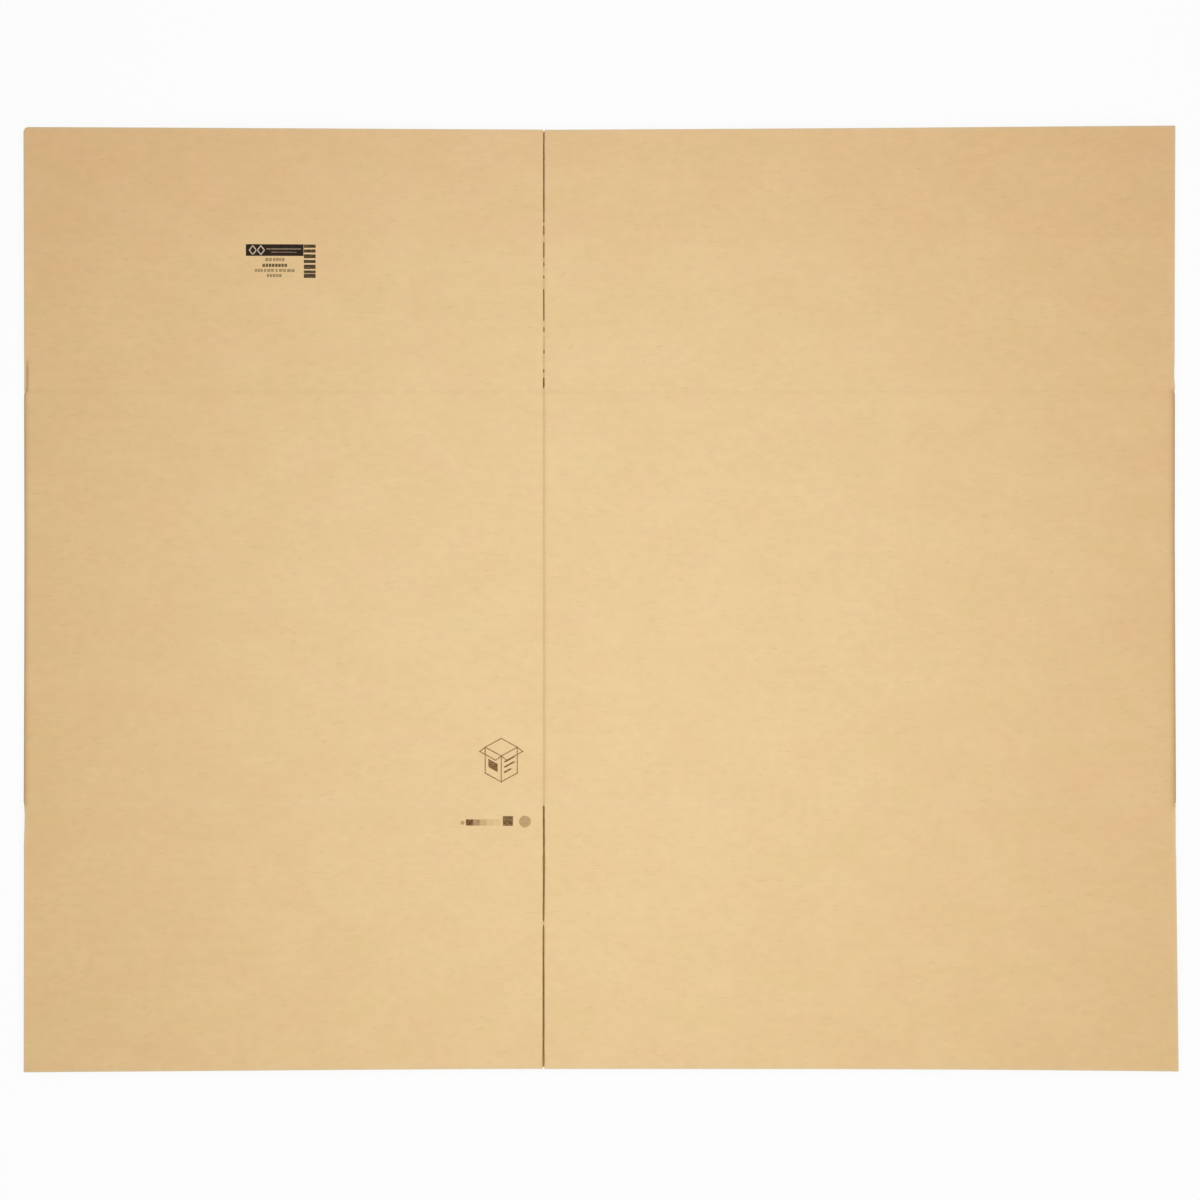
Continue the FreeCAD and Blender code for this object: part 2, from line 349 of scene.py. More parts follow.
def spread(stops, step):  # fills the stretches between sorted stops with even steps
    stops = sorted(set(round(stop, 7) for stop in stops))
    values = [stops[0]]
    for low, high in zip(stops, stops[1:]):
        count = max(1, math.ceil((high - low) / step - 0.001))
        values += [low + (high - low) * index / count for index in range(1, count + 1)]
    return values


def isBoard(u, v):  # is there board at this place of the blank
    front = abs(u) <= apex
    a = u if front else math.copysign(2 * apex, u) - u
    if flapLength(v) > 0:
        if abs(a) > (frontFlapEdge if front else backFlapEdge):
            return False
        if front and abs(a - middleLine) < slits["nominal"] and isOpen(v):
            return False
    return True


# Extra grid lines where the board bends or wears, besides the even steps
grid = {
    "fold": (-6 * mm, 0, 2 * mm, 3.6 * mm),  # from where a fold begins
    "flapSide": (3.4 * mm, 2.8 * mm, 2.2 * mm, 1.5 * mm),  # in from the side of a front flap
    "flapGap": 2.5 * mm,  # out from it
    "slit": (0, 0.3 * mm, 1.2 * mm, 2.4 * mm),
    "seam": (0, 1.5 * mm, 4 * mm),
    "crease": (0, 0.4 * mm, 1.5 * mm, 2.4 * mm),
    "flapRoot": (5.5 * mm, 9 * mm),  # on the flap alone
    "rim": (0, 0.6 * mm, 1.3 * mm, 2.6 * mm, 5 * mm),
    "fluteLip": 2.6 * mm,  # the flutes have few rows, apart from those near cut edges
    "fluteStep": 130 * mm,
    "seamReach": 8 * mm,
}


def blankColumns(step):  # places round the sleeve, from one end of the blank to the other
    sides = [foldStart + stop for stop in grid["fold"]]
    sides += [frontFlapEdge - stop for stop in grid["flapSide"]]
    sides += [backFlapEdge, frontFlapEdge, frontFlapEdge + grid["flapGap"], apex]
    besides = [*grid["slit"], slits["nominal"], slits["reach"] + slits["nominal"]]
    stops = [sign * stop for sign in (-1, 1) for stop in sides]
    stops += [middleLine + sign * stop for sign in (-1, 1) for stop in besides]
    for sign in (-1, 1):
        stops += [sign * (2 * apex - stop) for stop in sides]
        seamEnd = sign * 2 * apex - seamLine - sign * slits["seamWidth"] / 2
        stops += [seamEnd - sign * stop for stop in grid["seam"]]
    return spread(stops, step)


def blankRows(flapStep, bodyStep):
    near = (*grid["crease"], layout["nick"], layout["flapFreedom"])
    root, rim = (*near, *grid["flapRoot"]), grid["rim"]
    top = [topCrease + stop for stop in root] + [topEdge - stop for stop in rim]
    top += [topCrease + end for stretch in slits["topOpen"] for end in stretch if end < 1]
    bottom = [bottomCrease - stop for stop in root] + [bottomEdge + stop for stop in rim]
    bottom += [bottomCrease - end for stretch in slits["bottomOpen"] for end in stretch if end < 1]
    body = [topCrease - stop for stop in near] + [bottomCrease + stop for stop in near]
    rows = spread(bottom, flapStep) + spread(body, bodyStep) + spread(top, flapStep)
    return sorted(set(rows))


def newMesh():
    return {"points": [], "faces": [], "marks": []}


def addSheet(build, columns, rows, top, bottom, keep=None, place=boardPoint):
    # closed sheet over the kept cells of a grid, from one depth to another
    across, along = range(len(columns) - 1), range(len(rows) - 1)
    kept = {
        (i, j)
        for i in across
        for j in along
        if keep is None or keep((columns[i] + columns[i + 1]) / 2, (rows[j] + rows[j + 1]) / 2)
    }
    made = {}

    def corner(i, j):
        if (i, j) not in made:
            made[i, j] = len(build["points"])
            for depth in (top, bottom):
                build["points"].append(place(columns[i], rows[j], depth(columns[i])))
                build["marks"].append((columns[i], rows[j]))
        return made[i, j]

    for i, j in sorted(kept):
        a, b, c, d = corner(i, j), corner(i + 1, j), corner(i + 1, j + 1), corner(i, j + 1)
        build["faces"] += [(a, b, c, d), (d + 1, c + 1, b + 1, a + 1)]
        sides = ((a, b, (i, j - 1)), (b, c, (i + 1, j)), (c, d, (i, j + 1)), (d, a, (i - 1, j)))
        for first, second, beside in sides:
            if beside not in kept:
                build["faces"].append((first, first + 1, second + 1, second))


def finishPiece(name, build, material, sharp=38, board=True):
    mesh = bpy.data.meshes.new(name)
    mesh.from_pydata(build["points"], [], build["faces"])
    mesh.materials.append(material)
    mesh.shade_smooth()
    mesh.set_sharp_from_angle(angle=math.radians(sharp))
    piece = bpy.data.objects.new(name, mesh)
    bpy.context.collection.objects.link(piece)
    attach(piece, "root")
    if board:
        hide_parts(carton)
    return piece


def markSurface(piece, build):  # marks where the paper is rubbed at cut edges, where a painted highlight runs along the lower crease, and where painted shade darkens creases, slits, folds and the shadow groove
    wearAndHighlight = piece.data.attributes.new("wearAndHighlight", "FLOAT", "POINT")
    paintedShade = piece.data.attributes.new("paintedShade", "FLOAT", "POINT")
    for index, (u, v) in enumerate(build["marks"]):
        front = abs(u) <= apex
        a = u if front else math.copysign(2 * apex, u) - u
        slit = abs(a - (middleLine if front else seamLine)) - slits["nominal"]
        away = min(topEdge - v, v - bottomEdge)
        # painted highlight along the lower crease; beside the slits and at cut edges the paper is rubbed
        # pale
        paleWearAndHighlight = creases["bottomHighlight"] * bell(v - bottomCrease, creases["bottomWidth"])
        if flapLength(v) > 0:
            away = min(away, (frontFlapEdge if front else backFlapEdge) - abs(a))
            pale = creases["slitPale"] * bell(max(0.0, slit), creases["slitWidth"])
            paleWearAndHighlight = max(paleWearAndHighlight, pale)
        wearAndHighlight.data[index].value = max(paleWearAndHighlight, bell(max(0.0, away), creases["rimWidth"]))
        # painted shade: in the top crease, along the folded sides, in the middle crease, along open slits,
        # in the hairline where slit edges touch, and along the shadow groove
        lines = creases["topTone"] * bell(v - topCrease, creases["width"])
        if whichFlap(v) == 0:
            inside = max(0.0, frontFlapEdge - abs(a))
            tone = creases["foldTones"][1 if a > 0 else -1]
            lines = max(lines, tone * bell(inside, creases["foldWidth"]))
        if front and whichFlap(v) == 0:
            lines = max(lines, creases["middleTone"] * bell(slit + slits["nominal"], creases["toneWidth"]))
        elif front and isOpen(v):
            lines = max(lines, creases["cutTone"] * bell(max(0.0, slit), creases["cutWidth"]))
        elif front:
            swing = creases["touchSwing"] * wander(v / creases["touchLength"], 6.6)
            tone = creases["touchTone"] * (creases["touchLevel"] + swing)
            lines = max(lines, tone * bell(slit + slits["nominal"], creases["toneWidth"]))
        paintedShade.data[index].value = max(lines, shadowGroove["tone"] * shadowGrooveShare(a, v, front))


# Materials, all in object space so that the grain runs across the carton as the paper machine laid it

kraft = {
    "base": (0.798, 0.568, 0.279),
    "pale": (0.834, 0.612, 0.314),
    "pink": (0.819, 0.547, 0.282),
    "olive": (0.769, 0.577, 0.264),
    # dark is the colour of the painted shade in creases, along slits and folds and in the shadow groove
    "dark": (0.45, 0.26, 0.105),
    # pale colour for rubbed cut edges and for the painted highlight along the lower crease
    "paleWearAndHighlight": (0.78, 0.66, 0.42),
    "rim": (1.0, 0.918, 0.88),  # painted shade: redder and darker away from the middle, standing for the lamp's fall-off and the fading sheen
    "top": (1.0, 0.978, 0.985),  # a little redder towards the top edge
    "foot": (1.0, 1.02, 1.02),
    "roughness": 0.6,
    "specular": 0.5,
    "innerSpecular": 0.1,
    "clouds": (70 * mm, 45 * mm, 70 * mm),  # sizes of the grains, across, up and through
    "tints": (52 * mm, 38 * mm, 52 * mm),
    "shades": (12 * mm, 8 * mm, 12 * mm),
    "fibres": (8 * mm, 0.9 * mm, 8 * mm),
    "dashes": (9 * mm, 1.9 * mm, 9 * mm),
    "flecks": (8 * mm, 1.8 * mm, 8 * mm),
    "pulp": (0.7 * mm, 0.5 * mm, 0.7 * mm),
    "cloudShare": 0.45,
    "tintShare": 0.35,
    "streakLevels": (0.993, 1.006),
    "speckleLevels": (0.992, 1.008),
    "shadeLevels": (0.979, 1.021),
    "dashLevel": 0.935,
    "fleckLevel": 1.045,
    "fluteRelief": 0.12,  # how far the outer flutes show through the face
    "bumpStrength": 0.12,
    "bumpDepth": 0.1 * mm,
}


class NodeWriter:  # short way to add and join shader nodes
    def __init__(self, name):
        self.material = bpy.data.materials.new(name)
        self.material.use_nodes = True
        self.tree = self.material.node_tree
        self.shader = self.tree.nodes["Principled BSDF"]

    def add(self, kind, settings=None, **inputs):
        node = self.tree.nodes.new(kind)
        for key, value in (settings or {}).items():
            setattr(node, key, value)
        for key, value in inputs.items():
            self.put(node.inputs[key.replace("_", " ")], value)
        return node

    def put(self, socket, value):
        if isinstance(value, bpy.types.NodeSocket):
            self.tree.links.new(value, socket)
        else:
            socket.default_value = value

    def maths(self, operation, first, second=0.0, third=0.0):
        node = self.add("ShaderNodeMath", {"operation": operation})
        for socket, value in zip(node.inputs, (first, second, third)):
            self.put(socket, value)
        return node.outputs[0]

    def colours(self, share, first, second, blend="MIX"):
        node = self.add("ShaderNodeMix", {"data_type": "RGBA", "blend_type": blend})
        for socket, value in zip((node.inputs[0], node.inputs[6], node.inputs[7]), (share, first, second)):
            self.put(socket, (*value, 1) if isinstance(value, tuple) and len(value) == 3 else value)
        return node.outputs[2]

    def ramp(self, value, low, high, first=0.0, second=1.0):
        node = self.add("ShaderNodeMapRange", {"interpolation_type": "SMOOTHSTEP"}, Value=value)
        for key, number in (("From Min", low), ("From Max", high), ("To Min", first), ("To Max", second)):
            node.inputs[key].default_value = number
        return node.outputs[0]

    def grain(self, place, sizes, detail=2.0, roughness=0.5, seed=0.0):
        stretch = self.add("ShaderNodeMapping", Vector=place)
        stretch.inputs["Scale"].default_value = [1 / size for size in sizes]
        stretch.inputs["Location"].default_value = (seed, seed * 1.7, seed * 0.6)
        speckle = self.add("ShaderNodeTexNoise", Vector=stretch.outputs[0], Scale=1.0)
        speckle.inputs["Detail"].default_value = detail
        speckle.inputs["Roughness"].default_value = roughness
        return speckle.outputs["Fac"]


def makeKraft(name, tint=(1, 1, 1), marked=False, fluted=True):
    nodes = NodeWriter(name)
    place = nodes.add("ShaderNodeTexCoord").outputs["Object"]
    clouds = nodes.grain(place, kraft["clouds"], 2, 0.5, 3.1)
    tints = nodes.grain(place, kraft["tints"], 1, 0.5, 7.7)
    shades = nodes.grain(place, kraft["shades"], 2, 0.5, 4.3)
    fibres = nodes.grain(place, kraft["fibres"], 3, 0.65, 1.3)
    dashes = nodes.grain(place, kraft["dashes"], 1, 0.4, 9.4)
    flecks = nodes.grain(place, kraft["flecks"], 1, 0.4, 5.2)
    pulp = nodes.grain(place, kraft["pulp"], 2, 0.6, 2.4)
    shadesOfKraft = (kraft[shade] for shade in ("base", "pale", "pink", "olive"))
    base, pale, pink, olive = (tuple(c * t for c, t in zip(shade, tint)) for shade in shadesOfKraft)
    colour = nodes.colours(nodes.ramp(clouds, 0.35, 0.7, 0.0, kraft["cloudShare"]), base, pale)
    colour = nodes.colours(nodes.ramp(tints, 0.5, 0.7, 0.0, kraft["tintShare"]), colour, pink)
    colour = nodes.colours(nodes.ramp(tints, 0.5, 0.3, 0.0, kraft["tintShare"]), colour, olive)
    # painted shade: the kraft turns redder and darker away from the middle of the carton
    outward = nodes.add("ShaderNodeVectorMath", {"operation": "LENGTH"}, Vector=place).outputs["Value"]
    colour = nodes.colours(nodes.ramp(outward, 0.15, 0.7), colour, kraft["rim"], "MULTIPLY")
    across, up = nodes.add("ShaderNodeSeparateXYZ", Vector=place).outputs[:2]
    colour = nodes.colours(nodes.ramp(up, 0.26, 0.46), colour, kraft["top"], "MULTIPLY")
    colour = nodes.colours(nodes.ramp(up, -0.15, -0.4), colour, kraft["foot"], "MULTIPLY")
    streak = nodes.ramp(fibres, 0.25, 0.75, *kraft["streakLevels"])
    speckle = nodes.ramp(pulp, 0.2, 0.8, *kraft["speckleLevels"])
    shade = nodes.ramp(shades, 0.25, 0.75, *kraft["shadeLevels"])
    dash = nodes.ramp(dashes, 0.64, 0.78, 1.0, kraft["dashLevel"])
    fleck = nodes.ramp(flecks, 0.66, 0.8, 1.0, kraft["fleckLevel"])
    level = streak
    for factor in (speckle, dash, fleck, shade):
        level = nodes.maths("MULTIPLY", level, factor)
    grey = nodes.add("ShaderNodeCombineColor", Red=level, Green=level, Blue=level).outputs[0]
    colour = nodes.colours(1.0, colour, grey, "MULTIPLY")
    if marked:
        wearAndHighlight = nodes.add("ShaderNodeAttribute", {"attribute_name": "wearAndHighlight"}).outputs["Fac"]
        paintedShade = nodes.add("ShaderNodeAttribute", {"attribute_name": "paintedShade"}).outputs["Fac"]
        # rubbed cut edges, and the painted highlight along the lower crease
        paleWearAndHighlight = nodes.maths("MULTIPLY", wearAndHighlight, nodes.ramp(fibres, 0.3, 0.7, 0.3, 0.75))
        colour = nodes.colours(paleWearAndHighlight, colour, kraft["paleWearAndHighlight"])
        # painted shade darkens the creases, slits, folds and the shadow groove
        colour = nodes.colours(paintedShade, colour, kraft["dark"])
    nodes.put(nodes.shader.inputs["Base Color"], colour)
    shine = kraft["specular"] if fluted else kraft["innerSpecular"]
    nodes.shader.inputs["Specular IOR Level"].default_value = shine
    gloss = nodes.ramp(pulp, 0.2, 0.8, kraft["roughness"] - 0.06, kraft["roughness"] + 0.08)
    nodes.put(nodes.shader.inputs["Roughness"], gloss)
    relief = nodes.maths("ADD", nodes.maths("MULTIPLY", fibres, 0.6), nodes.maths("MULTIPLY", pulp, 0.4))
    if fluted:
        turns = nodes.maths("MULTIPLY", across, math.tau / boardLayers["fineFlutes"]["pitch"])
        ridges = nodes.maths("MULTIPLY", nodes.maths("SINE", turns), kraft["fluteRelief"])
        relief = nodes.maths("ADD", relief, ridges)
    bump = nodes.add(
        "ShaderNodeBump",
        Strength=kraft["bumpStrength"],
        Distance=kraft["bumpDepth"],
        Height=relief,
    )
    nodes.put(nodes.shader.inputs["Normal"], bump.outputs[0])
    return nodes.material


inkGrain = {
    "fibres": (5 * mm, 0.9 * mm, 5 * mm),
    "pulp": (0.8 * mm, 0.6 * mm, 0.8 * mm),
    "blots": (2.6 * mm, 1.7 * mm, 2.6 * mm),
    "roughness": 0.7,
    "specular": 0.1,
    "bumpStrength": 0.3,
    "bumpDepth": 0.1 * mm,
}


def makeInk(name, colour, cover, uneven):  # thin print that lets some of the kraft through
    nodes = NodeWriter(name)
    place = nodes.add("ShaderNodeTexCoord").outputs["Object"]
    fibres = nodes.grain(place, inkGrain["fibres"], 3, 0.65, 1.3)
    pulp = nodes.grain(place, inkGrain["pulp"], 2, 0.6, 2.4)
    blots = nodes.grain(place, inkGrain["blots"], 1, 0.5, 8.8)
    share = nodes.maths("MULTIPLY", cover, nodes.ramp(fibres, 0.2, 0.8, 1 - 0.5 * uneven, 1 + 0.4 * uneven))
    share = nodes.maths("MULTIPLY", share, nodes.ramp(pulp, 0.25, 0.75, 1 - 0.6 * uneven, 1 + 0.5 * uneven))
    share = nodes.maths("MULTIPLY", share, nodes.ramp(blots, 0.3, 0.7, 1 - uneven, 1 + 0.8 * uneven))
    nodes.put(nodes.shader.inputs["Base Color"], nodes.colours(share, kraft["base"], colour))
    nodes.shader.inputs["Roughness"].default_value = inkGrain["roughness"]
    nodes.shader.inputs["Specular IOR Level"].default_value = inkGrain["specular"]
    bump = nodes.add(
        "ShaderNodeBump",
        Strength=inkGrain["bumpStrength"],
        Distance=inkGrain["bumpDepth"],
        Height=pulp,
    )
    nodes.put(nodes.shader.inputs["Normal"], bump.outputs[0])
    return nodes.material


faceKraft = makeKraft("kraftFace", marked=True)
# painted shade: the inside paper is tinted darker and browner to stand for the shaded brown seen down the
# slits
shadedInnerKraft = makeKraft("kraftInsidePaintedShade", (0.96, 0.84, 0.64), fluted=False)
flutedKraft = makeKraft("flutingPaper", (0.9, 0.82, 0.73), fluted=False)
print("materials made")


def flat(depth):
    return lambda u: depth


def makeLiner(name, material):
    top, bottom = boardLayers[name]["between"]
    flapStep, bodyStep, columnStep = boardLayers[name]["steps"]
    build = newMesh()
    columns, rows = blankColumns(columnStep), blankRows(flapStep, bodyStep)
    addSheet(build, columns, rows, flat(top), flat(bottom), isBoard)
    piece = finishPiece(name, build, material)
    if name == "outerLiner":
        markSurface(piece, build)
    print(name, len(build["faces"]), "faces")


def fluteParts(step):  # stretches round the sleeve with their rows; only cut edges need many
    flap = layout["topFlap"]
    many = spread(blankRows(flap, flap) + [stop[0] * mm for stop in lie["swell"][1:-1]], flap)
    lip = grid["fluteLip"]
    few = [bottomEdge, bottomEdge + lip, bottomCrease, topCrease, topEdge - lip, topEdge]
    few = spread(few, grid["fluteStep"])
    columns = blankColumns(step)
    fold, slit, seam = foldStart + grid["fold"][0], slits["reach"] + slits["nominal"], grid["seamReach"]
    borders = [columns[0], columns[0] + seam, fold - 2 * apex, -fold, middleLine - slit, middleLine + slit]
    borders += [fold, 2 * apex - fold, columns[-1] - seam, columns[-1]]
    columns = spread(columns + borders, step)
    near = mm / 1000
    for index, (low, high) in enumerate(zip(borders, borders[1:])):
        yield [u for u in columns if low - near < u < high + near], few if index % 2 else many


def makeFlutes(name):
    settings = boardLayers[name]
    low, high = settings["between"]
    paper = boardLayers["paper"]
    middle, swing = (low + high) / 2, (high - low - paper) / 2

    def wave(u, offset):
        return middle + swing * math.cos(math.tau * u / settings["pitch"]) + offset

    build = newMesh()
    step = settings["pitch"] / boardLayers["stepsPerFlute"]
    for columns, rows in fluteParts(step):
        top, bottom = (lambda u: wave(u, -paper / 2)), (lambda u: wave(u, paper / 2))
        addSheet(build, columns, rows, top, bottom, isBoard)
    finishPiece(name, build, flutedKraft, settings["sharp"])
    print(name, len(build["faces"]), "faces")


makeLiner("outerLiner", faceKraft)
makeLiner("middleLiner", shadedInnerKraft)
makeLiner("innerLiner", shadedInnerKraft)
makeFlutes("fineFlutes")
makeFlutes("coarseFlutes")

# Glue tab: the end of the narrow back panel, crushed, turned up behind the wide one and glued there
tab = {
    "width": 40 * mm,
    "heel": 8 * mm,
    "inset": 3 * mm,
    "taper": 14 * mm,
    "thickness": 3.2 * mm,
    "lip": 0.9 * mm,
    "lipStart": 0.3 * mm,
    "lipClearance": 0.1 * mm,
    "crimp": 0.12 * mm,  # the crushed flutes still show as low ridges
    "edge": 3 * mm,  # over this length it thins towards its edges,
    "edgeShare": 0.55,  # to this share of its thickness
    "step": 0.8 * mm,
    "rows": 24,
}


def makeGlueTab():
    freeEdge, heel = seamLine - tab["width"], seamLine + tab["heel"]
    low, high = bottomCrease + tab["inset"], topCrease - tab["inset"]

    def tabPoint(x, share, depth):
        pull = tab["taper"] * max(0.0, (seamLine - x) / tab["width"])
        crimp = tab["crimp"] * math.sin(math.tau * x / boardLayers["fineFlutes"]["pitch"])
        y = mix(low + pull, high - pull, share)
        edge = smooth((x - freeEdge) / tab["edge"]) * smooth((heel - x) / tab["edge"])
        thick = mix(tab["edgeShare"], 1.0, edge) * depth
        return Vector((x, y, layout["board"] + thick + (crimp if depth else 0)))

    build = newMesh()
    columns = spread([freeEdge, freeEdge + tab["edge"], seamLine, heel - tab["edge"], heel], tab["step"])
    rows = [index / tab["rows"] for index in range(tab["rows"] + 1)]
    addSheet(build, columns, rows, flat(tab["thickness"]), flat(0), None, tabPoint)

    def lipPoint(x, share, depth):  # the outer liner turns up beside the seam
        wall = seamLine + slits["seamWidth"] / 2 - tab["lipClearance"]
        rise = mix(tab["lipStart"], layout["board"], depth)
        return Vector((wall + x * tab["lip"], mix(low, high, share), rise))

    addSheet(build, [0.0, 1.0], rows, flat(1.0), flat(0.0), None, lipPoint)
    finishPiece("glueTab", build, shadedInnerKraft)


makeGlueTab()

# Print: plain fields and simple shapes, as thin films that follow the face of the board
ink = {
    "film": 0.05 * mm,
    "sink": 0.1 * mm,
    "step": 9 * mm,
    "ragged": 0.07,  # share by which a disc's edge wanders
    "raggedStep": 3.3,
    "dark": (0.022, 0.012, 0.008),
    "brown": (0.13, 0.055, 0.012),
    "grey": (0.055, 0.034, 0.016),
    "light": (0.7, 0.56, 0.44),
    "faint": (0.22, 0.155, 0.11),
}


def inkBox(build, left, right, low, high, coats=1):
    columns = spread([left * mm, right * mm], ink["step"])
    rows = spread([low * mm, high * mm], ink["step"])
    addSheet(build, columns, rows, flat(-ink["film"] * coats), flat(ink["sink"]))


def inkShape(build, outline, coats=1):  # a prism over any outline of points, in millimetres, anticlockwise
    start, count = len(build["points"]), len(outline)
    for depth in (-ink["film"] * coats, ink["sink"]):
        build["points"] += [boardPoint(x * mm, y * mm, depth) for x, y in outline]
    build["faces"].append(tuple(range(start, start + count)))
    build["faces"].append(tuple(range(start + 2 * count - 1, start + count - 1, -1)))
    for index in range(count):
        following = (index + 1) % count
        a, b = start + index, start + following
        build["faces"].append((a, a + count, b + count, b))


def inkStroke(build, start, end, width, coats=1):
    along = (Vector(end) - Vector(start)).normalized()
    side = Vector((-along.y, along.x)) * width / 2
    first, last = Vector(start) - along * width / 2, Vector(end) + along * width / 2
    corners = (first - side, last - side, last + side, first + side)
    inkShape(build, [tuple(corner) for corner in corners], coats)


def inkDisc(build, x, y, radius, count=48):  # a little ragged, as the press left it
    turns = [math.tau * index / count for index in range(count)]
    swing = [ink["ragged"] * wander(index / ink["raggedStep"], x) for index in range(count)]
    reach = [radius * (1 + share) for share in swing]
    inkShape(build, [(x + r * math.cos(turn), y + r * math.sin(turn)) for r, turn in zip(reach, turns)])


def finishPrint(name, build, colour, cover, uneven=0.15):
    finishPiece(name, build, makeInk(f"{name}Ink", colour, cover, uneven), board=False)


# Small label block, in millimetres from the middle of the carton
label = {
    "bar": (-342.1, -286.4, 331.8, 343.1),
    "lozenges": ((-335.4, 337.4), (-327.6, 337.4)),
    "lozenge": (3.4, 4.4, 0.9),  # half its width, half its height and its stroke
    "stripes": ((-322.2, -288.6, 338.0, 339.1), (-317.4, -293.0, 335.1, 335.8)),
    "ladder": (-286.1, -274.7),
    "rungs": (
        (339.7, 342.9),
        (335.1, 338.2),
        (329.7, 333.4),
        (325.0, 328.0),
        (319.2, 323.4),
        (315.1, 317.8),
        (310.6, 314.6),
    ),
    "dashes": (  # low, high, cover, then the stretches that stand for words
        (326.8, 329.8, 0.6, (-323.4, -316.9), (-315.7, -304.9)),
        (321.2, 324.2, 0.9, (-326.1, -302.3)),
        (316.3, 319.1, 0.6, (-333.4, -325.7), (-324.5, -322.6), (-321.6, -315.1), (-313.4, -311.6)),
        (316.3, 319.1, 0.6, (-310.2, -303.4), (-302.2, -295.0)),
        (311.4, 314.3, 0.6, (-321.9, -307.6)),
    ),
    "dash": 2.3,
    "gap": 0.6,
    "covers": {"bar": 0.99, "lozenges": 0.9, "stripes": 0.9, "ladder": 0.96},
}


def makeLabel():
    bar, light, stripes, rungs = newMesh(), newMesh(), newMesh(), newMesh()
    covers = label["covers"]
    inkBox(bar, *label["bar"])
    finishPrint("labelBar", bar, ink["dark"], covers["bar"], 0.01)
    half, tall, stroke = label["lozenge"]
    for x, y in label["lozenges"]:
        corners = [(x - half, y), (x, y - tall), (x + half, y), (x, y + tall)]
        for start, end in zip(corners, corners[1:] + corners[:1]):
            inkStroke(light, start, end, stroke, 2)
    finishPrint("labelLozenges", light, ink["light"], covers["lozenges"])
    for stripe in label["stripes"]:
        inkBox(stripes, *stripe, 2)
    finishPrint("labelStripes", stripes, ink["faint"], covers["stripes"])
    for low, high in label["rungs"]:
        inkBox(rungs, *label["ladder"], low, high)
    finishPrint("labelLadder", rungs, ink["grey"], covers["ladder"], 0.05)
    for index, (low, high, cover, *words) in enumerate(label["dashes"]):
        row = newMesh()
        for start, end in words:
            count = max(1, round((end - start) / (label["dash"] + label["gap"])))
            pitch = (end - start + label["gap"]) / count
            for place in range(count):
                left = start + pitch * place
                inkBox(row, left, left + pitch - label["gap"], low, high)
        finishPrint(f"labelRow{index + 1}", row, ink["grey"], cover)


makeLabel()

# Outline of an open carton, in thin strokes
mark = {
    "x": -95.2,
    "y": -156.0,
    "half": 15.5,
    "rise": 8.5,
    "height": 25.0,
    "flapOut": 7.5 * 0.7,
    "flapDown": 7.5 * 0.55,
    "stroke": 1.1,
    "lineStroke": 1.1 * 1.4,
    "panel": (-12.5, -3.5, 0.62, 0.3),  # across from and to, then up to and from as shares of the height
    "lines": ((3.6, 12.4, 0.70), (3.6, 12.4, 0.50), (3.6, 9.0, 0.30)),
    "lineCover": 0.7,
    "solidCover": 0.88,
}


def makeCartonMark():
    build = newMesh()
    x, y, half, rise = mark["x"], mark["y"], mark["half"], mark["rise"]
    top, base = y + mark["height"] / 2, y - mark["height"] / 2
    left, right = (x - half, top), (x + half, top)
    back, front = (x, top + rise), (x, top - rise)
    lowLeft, lowRight, lowFront = (x - half, base), (x + half, base), (x, base - rise)
    strokes = [(left, back), (back, right), (left, front), (front, right), (front, lowFront)]
    strokes += [(left, lowLeft), (right, lowRight), (lowLeft, lowFront), (lowFront, lowRight)]
    for corner, sign in ((left, -1), (right, 1)):
        outer = (corner[0] + sign * mark["flapOut"], corner[1] - mark["flapDown"])
        outerFront = (front[0] + sign * mark["flapOut"], front[1] - mark["flapDown"])
        strokes += [(corner, outer), (outer, outerFront), (outerFront, front)]
    for start, end in strokes:
        inkStroke(build, start, end, mark["stroke"])
    finishPrint("markLines", build, ink["brown"], mark["lineCover"])
    solid = newMesh()

    def onFace(across, share):  # a place on one of the two faces that are seen
        drop = rise * (1 - abs(across) / half)
        return (x + across, mix(base, top, share) - drop)

    near, far, high, low = mark["panel"]
    inkShape(solid, [onFace(near, low), onFace(far, low), onFace(far, high), onFace(near, high)])
    for near, far, share in mark["lines"]:
        inkStroke(solid, onFace(near, share), onFace(far, share), mark["lineStroke"])
    finishPrint("markSolid", solid, ink["brown"], mark["solidCover"])


makeCartonMark()

# Row of plain test patches from the press
patches = {
    "dot": (-132.7, -216.6, 2.0),
    "cells": (-129.4, -122.4, -115.8, -109.1, -102.4, -95.8),
    "cellLow": -219.3,
    "cellHigh": -213.3,
    "square": (-93.7, -83.8, -219.6, -210.2),
    "disc": (-72.2, -215.4, 5.7),
    "covers": (0.96, 0.56, 0.29, 0.12, 0.06),
    "squareCover": 0.89,
    "discCover": 0.44,
    "dotCover": 0.45,
}

for index, cover in enumerate(patches["covers"]):
    cell = newMesh()
    start, end = patches["cells"][index : index + 2]
    inkBox(cell, start, end, patches["cellLow"], patches["cellHigh"])
    finishPrint(f"testCell{index + 1}", cell, ink["brown"], cover)
square = newMesh()
inkBox(square, *patches["square"])
finishPrint("testSquare", square, ink["brown"], patches["squareCover"])
roundPrint = newMesh()
inkDisc(roundPrint, *patches["disc"])
finishPrint("testDisc", roundPrint, ink["brown"], patches["discCover"])
dotPrint = newMesh()
inkDisc(dotPrint, *patches["dot"])
finishPrint("testDot", dotPrint, ink["brown"], patches["dotCover"])
print("print made")

# Floor, light and camera
studio = {
    "floorSize": 14,
    "floorDrop": 0.6 * mm,
    "floorColour": (0.86, 0.86, 0.86),
    "whiteShare": 0.92,
    "lampHeight": 1.8,
    "lampSize": (0.9, 1.8),
    "lampPower": 28.1,
    "lampPlace": (0.06, -0.12),
    "world": 0.25,
}


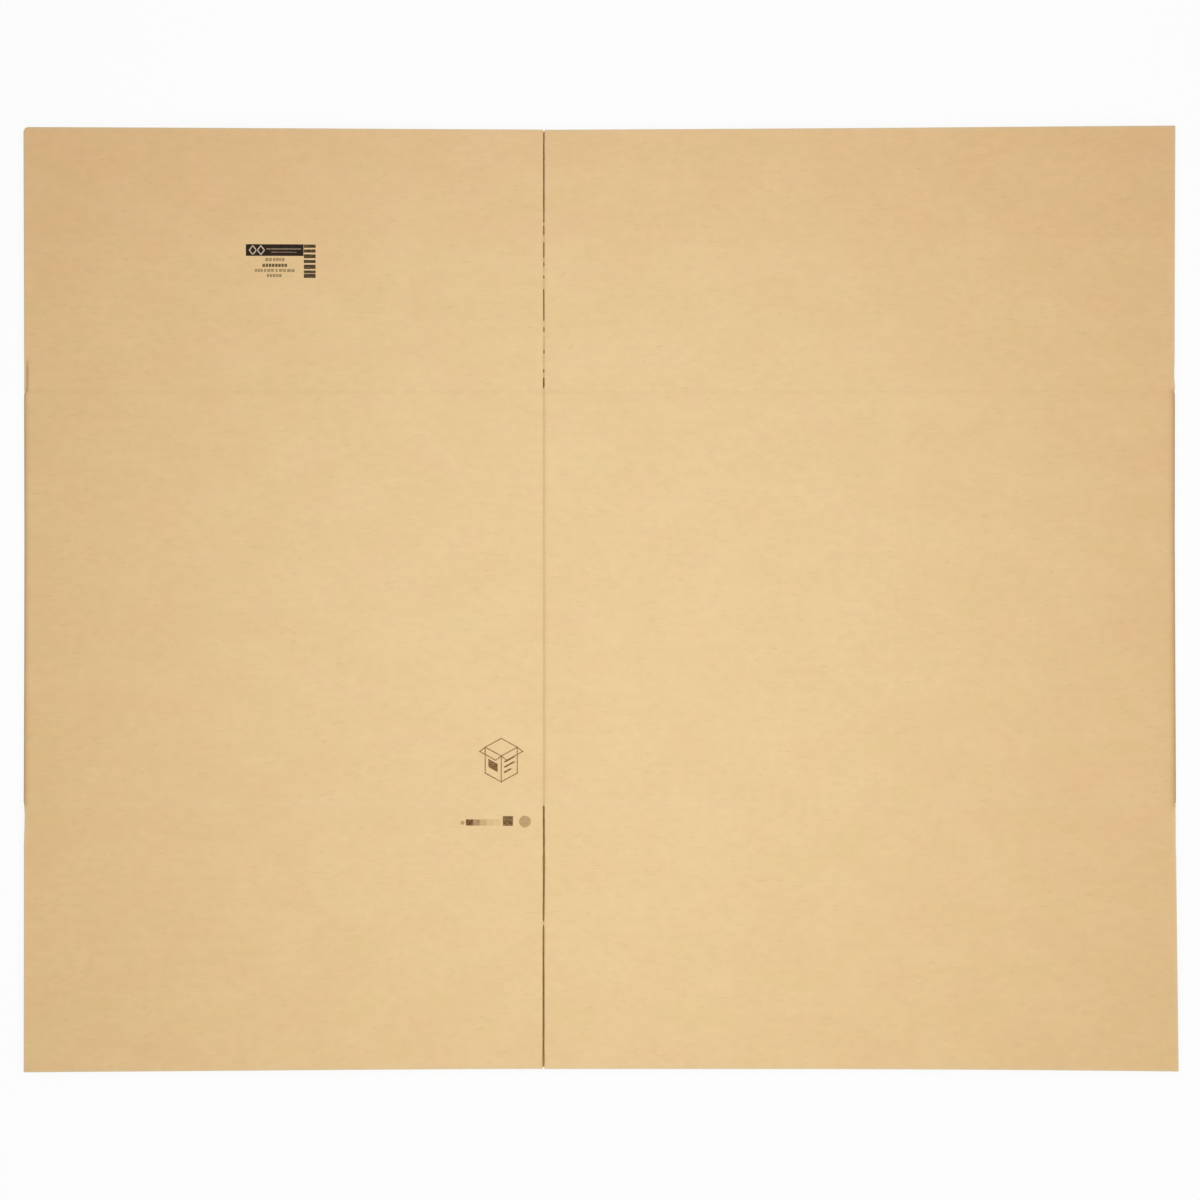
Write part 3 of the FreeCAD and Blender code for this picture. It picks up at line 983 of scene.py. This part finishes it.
def makeFloor():
    bpy.ops.mesh.primitive_plane_add(size=studio["floorSize"], location=(0, 0, -studio["floorDrop"]))
    floor = bpy.context.object
    floor.name = "floor"
    nodes = NodeWriter("paleFloor")
    nodes.shader.inputs["Base Color"].default_value = (*studio["floorColour"], 1)
    nodes.shader.inputs["Roughness"].default_value = 0.9
    nodes.shader.inputs["Specular IOR Level"].default_value = 0.0
    white = nodes.add("ShaderNodeEmission").outputs[0]
    rays = nodes.add("ShaderNodeLightPath").outputs
    seen = nodes.maths("MAXIMUM", rays["Is Camera Ray"], rays["Is Glossy Ray"])
    seen = nodes.maths("MAXIMUM", seen, rays["Is Transmission Ray"])
    share = nodes.maths("MULTIPLY", seen, studio["whiteShare"])
    both = nodes.add("ShaderNodeMixShader", Fac=share)
    nodes.put(both.inputs[1], nodes.shader.outputs[0])
    nodes.put(both.inputs[2], white)
    nodes.put(nodes.tree.nodes["Material Output"].inputs["Surface"], both.outputs[0])
    floor.data.materials.append(nodes.material)


def makeWorld():
    world = bpy.data.worlds.new("studio")
    bpy.context.scene.world = world
    world.use_nodes = True
    tree = world.node_tree
    back = tree.nodes["Background"]
    rays = tree.nodes.new("ShaderNodeLightPath").outputs
    level = tree.nodes.new("ShaderNodeMix")
    level.inputs[2].default_value = studio["world"]
    level.inputs[3].default_value = 1.0
    tree.links.new(rays["Is Camera Ray"], level.inputs[0])
    tree.links.new(level.outputs[0], back.inputs["Strength"])
    back.inputs["Color"].default_value = (1, 1, 1, 1)


def makeLamp():
    lamp = bpy.data.lights.new("softbox", "AREA")
    lamp.shape = "RECTANGLE"
    lamp.size, lamp.size_y = studio["lampSize"]
    lamp.energy = studio["lampPower"]
    holder = bpy.data.objects.new("softbox", lamp)
    holder.location = (*studio["lampPlace"], studio["lampHeight"])
    holder.visible_camera = False
    bpy.context.collection.objects.link(holder)


camera = {
    "height": 3.0,  # above the front face
    "frameWidth": 1200 / 1.034 * mm,  # real width of the picture: 1200 pixels, 1.034 to a millimetre
    "sensor": 36,
    "right": 0.29 * mm,
    "down": 1.16 * mm,
}


def makeCamera():
    lens = bpy.data.cameras.new("camera")
    lens.sensor_width = camera["sensor"]
    lens.lens = camera["sensor"] * camera["height"] / camera["frameWidth"]
    holder = bpy.data.objects.new("camera", lens)
    holder.location = (camera["right"], -camera["down"], camera["height"] + cartonHigh.z)
    bpy.context.collection.objects.link(holder)
    bpy.context.scene.camera = holder


makeFloor()
makeWorld()
makeLamp()
makeCamera()
bpy.context.scene.view_settings.view_transform = "Standard"
print("studio made")
